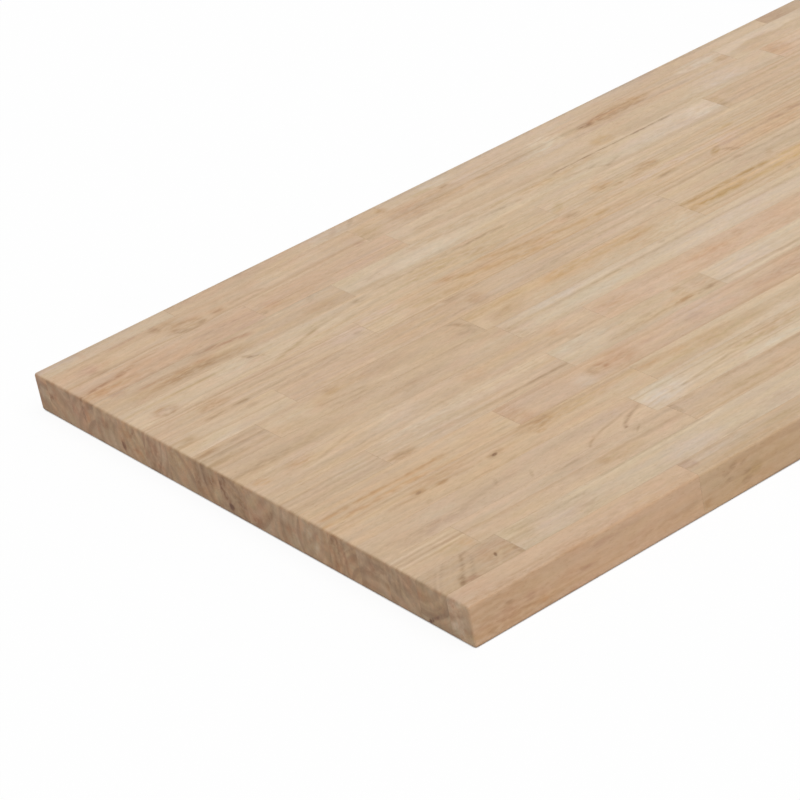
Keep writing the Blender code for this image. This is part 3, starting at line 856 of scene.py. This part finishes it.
# What shows on the end grain: distances from the near edge and below the top
END_MARKS = {
    (1, 1): [
        spot(9, 19, 38, 90, LIGHT, 0.9), spot(24, 18, 9, 8, RUST, 1.0), spot(10, 19, 36, 90, BLUE, 1.0),
    ],
    # The corner knot's root
    (2, 1): [
        line(25, 16, 58, 38, 1.0, BARK, 0.6, bow=-1.5), spot(46, 19, 42, 60, LIGHT),
        spot(54, 35, 9, 5.5, BARK, 1.0, lean=0.7), spot(57, 10, 14, 22, OLIVE, 1.0),
        spot(66.5, 18, 4, 44, RUST, 0.7),
    ],
    (3, 1): [spot(88, 12, 44, 24, GREY, 0.8), spot(80, 29, 26, 14, BLUE), spot(102, 15, 8, 8, PLUM, 0.6)],
    (4, 1): [
        spot(126, 19, 44, 90, BROWN, 0.25), line(104, 9, 148, 22, 3.2, RUST, 0.45),
        spot(107, 26, 10, 9, GOLD, 0.8),
    ],
    (5, 1): [
        spot(188, 14, 14, 26, PINK, 0.9), spot(150, 5, 14, 9, RUST, 0.4), spot(172, 10, 24, 22, BROWN, 0.6),
        spot(176, 28, 14, 8, ORANGE, 0.8),
    ],
    (6, 1): [
        spot(212, 16, 22, 30, BLUE, 0.6), line(194, 5, 214, 22, 1.6, RUST),
        line(196, 12, 222, 27, 1.8, RUST, 0.4), spot(205, 27, 24, 12, BLUE),
        spot(203, 19, 44, 90, PALE, 0.3), spot(205, 19, 36, 90, BLUE, 0.55),
    ],
    (7, 1): [
        line(218, 16, 256, 17, 2.6, RUST, 0.45), spot(240, 28, 26, 16, BLUE),
        spot(242, 19, 44, 90, PALE, 0.8),
    ],
    (8, 1): [
        line(258, 11, 298, 33, 2.6, RUST, 0.7), spot(276, 10, 24, 9, PINK, 0.9),
        spot(287, 28, 16, 8, RED, 0.7), spot(296, 8, 18, 22, GOLD), spot(286, 17, 40, 30, PALE, 0.35),
    ],
    # A knot
    (9, 1): [
        spot(309, 22, 10, 30, RUST, 0.6), knot(327, 30, 8, 7, 0.85, tint=BARK),
        spot(320, 17, 40, 60, BROWN, 0.65), line(326, 4, 343, 17, 2.4, RUST, 0.6),
        line(338, 15, 324, 33, 2.6, RUST, 0.7),
    ],
    (10, 1): [
        spot(359, 19, 44, 90, ORANGE, 0.4), spot(345, 25, 15, 19, LIGHT, 1.0, lean=0.5),
        line(342, 12, 384, 22, 3.0, RUST), spot(352, 12, 12, 9, RED, 0.8),
        spot(370, 28, 26, 8, ORANGE, 0.9),
    ],
    (11, 1): [
        spot(398, 19, 44, 90, ORANGE, 0.3), spot(398, 13, 36, 18, LIGHT, 0.2),
        spot(402, 12, 32, 18, GOLD, 0.6),
    ],
    (12, 1): [
        spot(436, 18, 9, 24, RUST, 0.6), spot(433, 28, 12, 8, RED, 0.7), spot(454, 22, 7, 28, RUST, 0.35),
        spot(438, 10, 44, 26, PALE, 0.4),
    ],
    # A knot
    (13, 1): [
        spot(491, 26, 11, 12, RED, 1.0), knot(492.5, 27, 6.5, 7.5, 0.8, tint=BARK),
        spot(484, 12, 14, 9, ORANGE, 0.9), line(494, 13, 508, 25, 1.6, RUST, 0.7),
        line(468, 4, 478, 13, 1.3, RUST, 0.7), spot(476, 19, 44, 90, ORANGE, 0.6),
        line(456, 16, 484, 30, 1.4, RUST), spot(471, 8, 6, 9, RUST, 0.6), spot(466, 26, 16, 7, ORANGE, 0.8),
    ],
    (14, 1): [
        spot(512, 8, 16, 12, PALE, 1.0), spot(520, 14, 16, 10, RUST, 0.6),
        spot(516, 19, 44, 90, PALE, 0.75), spot(526, 15, 18, 10, RUST, 0.4),
        spot(532, 23, 12, 10, PINK, 0.9), spot(503, 30, 16, 8, PALE, 0.9),
    ],
    (15, 1): [spot(569, 19, 12, 14, PLUM, 1.0), line(538, 18, 574, 25, 2.0, BLUE, 0.4)],
    (16, 1): [
        line(598, 13, 618, 20, 2.0, RUST, 0.7), spot(590, 19, 16, 14, PALE), spot(611, 17, 10, 7, RUST),
    ],
    # The last of these, the dark strip along the far upright corner, is painted shade where that corner
    # turns away from the light
    (17, 1): [
        spot(625, 12, 16, 18, PLUM, 0.4), spot(622, 30, 16, 10, RUST, 0.2),
        spot(613, 19, 10, 70, RUST, 0.2), spot(632, 19, 9, 90, RUST, 0.6),
    ],
}

# The same with the end turned upright: distances below the top and from the near edge
UPRIGHT_END_MARKS = {
    (5, 1): [stripes(19, 170, 60, 24, 7.5, RUST, 0.6)],
    (9, 1): [line(2, 331, 18, 339, 1.6, RUST, 0.8, bow=2), line(12, 338, 34, 324, 2.2, RUST, 0.8)],
    (12, 1): [stripes(22, 445.5, 44, 30, 16, RUST, 0.8)],
}

# The marks on each face, and how deep they go into the wood below it
MARKS = {"top": TOP_MARKS, "edge": EDGE_MARKS, "end": END_MARKS, "end up": UPRIGHT_END_MARKS}
DEPTHS = {"top": 30.0, "edge": 12.0, "end": 8.0, "end up": 8.0}

# The length that the photo leaves out: where it starts at the near and the far long edge, how far apart
# its marks lie on average, and what they are like: dark ones are twice as likely, and half are lines
HIDDEN_FROM = (420, 1020)
HIDDEN_PITCH = 55
HIDDEN_TINTS = (DARK, DARK, BROWN, RED, OLIVE, GREY, PALE, BLUE, GOLD)
HIDDEN_LENGTHS = (20, 130)
HIDDEN_STRENGTHS = (0.3, 0.6)
HIDDEN_LINES = 0.5
LINE_RISES, LINE_WIDTHS, LINE_BOWS = (-4, 4), (1.2, 2.6), (-2, 2)
CLOUD_WIDTHS = (8, 24)
CLOUD_STRENGTH = 0.8

# Staves that are darker or lighter than the rest of their tone
SHADES = {
    (2, 1): 0.97, (2, 2): 0.97, (3, 1): 1.04, (7, 1): 1.04, (8, 2): 1.04, (9, 1): 1.03, (10, 2): 1.04,
    (15, 1): 0.98, (15, 4): 1.05, (17, 4): 0.93,
}

# Knots that the grain parts round: where they lie on the top, and how far they push it
KNOTS = {
    (2, 1): (62, 42, 9), (5, 1): (160, 164, 7), (6, 2): (305, 203, 9), (12, 2): (484, 449, 8),
    (13, 1): (34, 467, 11), (16, 1): (139, 588, 14),
}

# Where a stave without one has it: far off the block
NO_KNOT = (-1000, 0, 1)


def stave_place(node):
    """Row and stave number, from a node's name."""
    _, row, _, place = node.split("_")
    return int(row), int(place)


def face_place(graph, face, place):
    """A point's place on a face of the block in millimetres, with its depth below that face."""
    x, y, z = graph.split(place)
    below = graph.minus(THICK, z)
    order = {"top": (x, y, below), "edge": (x, below, y), "end": (y, below, x), "end up": (below, y, x)}
    return graph.vector(*order[face])


def hidden_marks(low, high, chance):
    """Streaks and clouds at random, in the stretch of a stave that the photo doesn't show."""
    x_low, y_low, _ = (low - CAD_LOW) / MM
    x_high, y_high, _ = (high - CAD_LOW) / MM
    near, far = HIDDEN_FROM
    start = max(x_low, near + (far - near) * y_low * MM / (CAD_HIGH.y - CAD_LOW.y))
    marks = []
    for _ in range(int((x_high - start) / HIDDEN_PITCH)):
        x = chance.uniform(start, x_high)
        y = chance.uniform(y_low, y_high)
        length = chance.uniform(*HIDDEN_LENGTHS)
        tint = chance.choice(HIDDEN_TINTS)
        strength = chance.uniform(*HIDDEN_STRENGTHS)
        if chance.random() < HIDDEN_LINES:
            rise = chance.uniform(*LINE_RISES)
            width = chance.uniform(*LINE_WIDTHS)
            bow = chance.uniform(*LINE_BOWS)
            marks.append(line(x, y, x + length, y + rise, width, tint, strength, bow))
        else:
            width = chance.uniform(*CLOUD_WIDTHS)
            marks.append(spot(x + length / 2, y, length, width, tint, strength * CLOUD_STRENGTH))
    return marks


def add_marks(graph, colour, where, end, marks):
    """Stain the colour with the marks on each face, unevenly, as stain lies in wood."""
    for face, on_face in marks.items():
        if not on_face:
            continue
        inputs = {"Place": face_place(graph, face, where["Place"]), "Depth": DEPTHS[face]}
        shows = end if face.startswith("end") else 1.0
        breaks = graph.times(where["Break"], shows)
        for mark in on_face:
            mask = graph.group(mark.kind, inputs | mark.values)[mark.part]
            amount = graph.times(mask, mark.strength)
            amount = graph.times(amount, shows if mark.even else breaks)
            colour = graph.stain(colour, mark.tint, amount)
    return colour


def stave_grain(graph, stave, low, high, chance):
    """Where a point of a stave lies on the block, and the grain there."""
    pith_angle = chance.uniform(0, 2 * math.pi)
    seed = chance.uniform(0, 100)
    knot_x, knot_y, knot_size = KNOTS.get(stave, NO_KNOT)
    where = graph.group("place", {"Seed": seed})
    values = {
        "Place": where["Place"],
        "Seed": seed,
        "Middle Y": ((low.y + high.y) / 2 - CAD_LOW.y) / MM,
        "Pith Y": math.sin(pith_angle),
        "Pith Z": math.cos(pith_angle),
        "Pith Distance": chance.uniform(*PITH_DISTANCES),
        "Drift": chance.uniform(*DRIFTS),
        "Slant": chance.uniform(*SLANTS),
        "Ring": chance.uniform(*RINGS),
        "Knot X": knot_x,
        "Knot Y": knot_y,
        "Knot Size": knot_size,
    }
    return where, graph.group("grain", values)


def wood_colour(graph, tone, where, grain, light, calm, edge, end):
    """The stave's tone with its grain, the darker end grain and a painted shade along the foot of the block.
    """
    colour = graph.stain((*tone, 1.0), graph.vector(light, light, light), 1.0)
    for feature, side, tint in GRAIN_STAINS:
        colour = graph.stain(colour, tint, graph.times(grain[feature], side))
    colour = graph.stain(colour, RING_TINT, graph.times(grain["Line"], calm))
    colour = graph.stain(colour, EDGE_TINT, edge)
    colour = graph.stain(colour, END_TINT, end)
    for feature, side, tint in END_STAINS:
        amount = graph.times(grain[feature], end)
        colour = graph.stain(colour, tint, graph.times(amount, side))
    # Painted shade: the wood darkens towards the underside, in place of the contact shadow along the floor
    foot = graph.ramp(graph.split(where["Place"])[2], *FOOT_SHADE_HEIGHTS, 1.0, 0.0)
    return graph.stain(colour, FOOT_PAINTED_SHADE, foot)


def finish_wood(graph, shader, grain, light):
    """Sanded raw wood: rough, rougher in its pores, with a trace of relief."""
    rough = graph.times_plus(grain["Pore"], PORE_ROUGHNESS, ROUGHNESS)
    rough = graph.times_plus(grain["Line"], RING_ROUGHNESS, rough)
    graph.feed(shader.inputs["Roughness"], rough)
    height = graph.times_plus(grain["Pore"], -1.0, light)
    inputs = {"Height": height, "Strength": BUMP_STRENGTH, "Distance": BUMP_DISTANCE}
    graph.feed(shader.inputs["Normal"], graph.node("ShaderNodeBump", inputs).outputs[0])


def stave_wood(node, tone):
    """The raw sanded wood of one stave."""
    stave = stave_place(node)
    row, place = stave
    material = bpy.data.materials.new(f"wood_{row:02d}_{place}")
    material.use_nodes = True
    graph = Graph(material.node_tree)
    shader = graph.tree.nodes["Principled BSDF"]
    chance = random.Random(row * 100 + place)
    low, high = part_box(node)
    where, grain = stave_grain(graph, stave, low, high, chance)

    normal = graph.node("ShaderNodeTexCoord").outputs["Normal"]
    face_x, face_y, _ = graph.split(normal)
    end = graph.ramp(graph.math("ABSOLUTE", face_x), *FACE_TURNS)
    edge = graph.ramp(graph.math("ABSOLUTE", face_y), *FACE_TURNS)
    calm = graph.times_plus(edge, EDGE_CALM, 1.0)
    light = graph.times_plus(graph.minus(grain["Light"], 1.0), calm, 1.0)
    tone = tuple(channel * SHADES.get(stave, 1.0) for channel in tone)
    colour = wood_colour(graph, tone, where, grain, light, calm, edge, end)
    marks = {face: on_face.get(stave, []) for face, on_face in MARKS.items()}
    marks["top"] = marks["top"] + hidden_marks(low, high, chance)
    colour = add_marks(graph, colour, where, end, marks)
    graph.feed(shader.inputs["Base Color"], colour)
    finish_wood(graph, shader, grain, light)
    return material


def dress_staves():
    """Give each stave its own wood, in the tone of its slot."""
    tones = {material["slot"]: material["base_color"] for material in frame["record"]["materials"]}
    for subpart in frame["record"]["subparts"]:
        stave = frame["nodes"][subpart["node"]]
        material = stave_wood(subpart["node"], tones[subpart["material_slot"]])
        for slot in stave.material_slots:
            slot.material = material


def seen_ray(graph):
    """One for the rays that look at the background, also in gloss or through glass, and zero for light."""
    path = graph.node("ShaderNodeLightPath").outputs
    seen = graph.math("ADD", path["Is Camera Ray"], path["Is Glossy Ray"], clamp=True)
    return graph.math("ADD", seen, path["Is Transmission Ray"], clamp=True)


def floor_material():
    """A pale floor that reads as white and keeps the block's shadow."""
    material = bpy.data.materials.new("floor")
    material.use_nodes = True
    graph = Graph(material.node_tree)
    graph.tree.nodes.clear()
    matte = graph.node("ShaderNodeBsdfDiffuse", {"Color": FLOOR_COLOUR})
    white = graph.node("ShaderNodeEmission", {"Color": (1, 1, 1, 1), "Strength": 1.0})
    mix = graph.node("ShaderNodeMixShader")
    sky = graph.node("ShaderNodeAmbientOcclusion", {"Distance": SHADOW_REACH}, samples=SHADOW_SAMPLES)
    white_share = graph.times(graph.ramp(sky.outputs["AO"], *SHADOW_OPENNESS), FLOOR_WHITENESS)
    graph.feed(mix.inputs[0], graph.times(seen_ray(graph), white_share))
    graph.feed(mix.inputs[1], matte.outputs[0])
    graph.feed(mix.inputs[2], white.outputs[0])
    output = graph.node("ShaderNodeOutputMaterial")
    graph.feed(output.inputs["Surface"], mix.outputs[0])
    return material


def add_floor():
    """A plain floor under the block."""
    mesh = bpy.data.meshes.new("floor")
    half = FLOOR_SIZE / 2
    corners = [(-half, -half, 0), (half, -half, 0), (half, half, 0), (-half, half, 0)]
    mesh.from_pydata(corners, [], [(0, 1, 2, 3)])
    floor = bpy.data.objects.new("floor", mesh)
    floor.location.z = CAD_LOW.z
    floor.data.materials.append(floor_material())
    bpy.context.scene.collection.objects.link(floor)
    floor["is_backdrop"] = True


def add_world():
    """White behind everything, and an even soft light from all round."""
    world = bpy.data.worlds.new("studio")
    world.use_nodes = True
    graph = Graph(world.node_tree)
    background = graph.tree.nodes["Background"]
    background.inputs["Color"].default_value = (1, 1, 1, 1)
    strength = graph.times_plus(seen_ray(graph), 1.0 - WORLD_LIGHT, WORLD_LIGHT)
    graph.feed(background.inputs["Strength"], strength)
    bpy.context.scene.world = world


def add_sun():
    """A broad lamp far overhead. Its strength is its share of the light on a face turned to it."""
    lamp = bpy.data.lights.new("overhead", "SUN")
    lamp.energy = SUN_LIGHT * math.pi
    lamp.angle = SUN_SPREAD
    sun = bpy.data.objects.new("overhead", lamp)
    sun.rotation_euler = (-Vector(SUN_FROM)).to_track_quat("-Z", "Y").to_euler()
    bpy.context.scene.collection.objects.link(sun)


def add_camera():
    """The photograph's own view: a long lens from above the near corner, rolled a little."""
    flat = math.cos(CAMERA_ELEVATION)
    back_x = -math.cos(CAMERA_AZIMUTH) * flat
    back_y = -math.sin(CAMERA_AZIMUTH) * flat
    back = Vector((back_x, back_y, math.sin(CAMERA_ELEVATION)))
    right = (-back).cross(Vector((0, 0, 1))).normalized()
    up = right.cross(-back)
    rolled_right = math.cos(CAMERA_ROLL) * right + math.sin(CAMERA_ROLL) * up
    rolled_up = math.cos(CAMERA_ROLL) * up - math.sin(CAMERA_ROLL) * right
    aim = CAD_LOW + CAMERA_AIM
    turn = Matrix((rolled_right, rolled_up, back)).transposed().to_4x4()
    data = bpy.data.cameras.new("camera")
    data.sensor_width = SENSOR
    data.lens = CAMERA_LENS
    camera = bpy.data.objects.new("camera", data)
    camera.matrix_world = Matrix.Translation(aim + back * CAMERA_DISTANCE) @ turn
    bpy.context.scene.collection.objects.link(camera)
    bpy.context.scene.camera = camera


bpy.context.scene.view_settings.view_transform = "Standard"
dress_staves()
add_floor()
add_world()
add_sun()
add_camera()
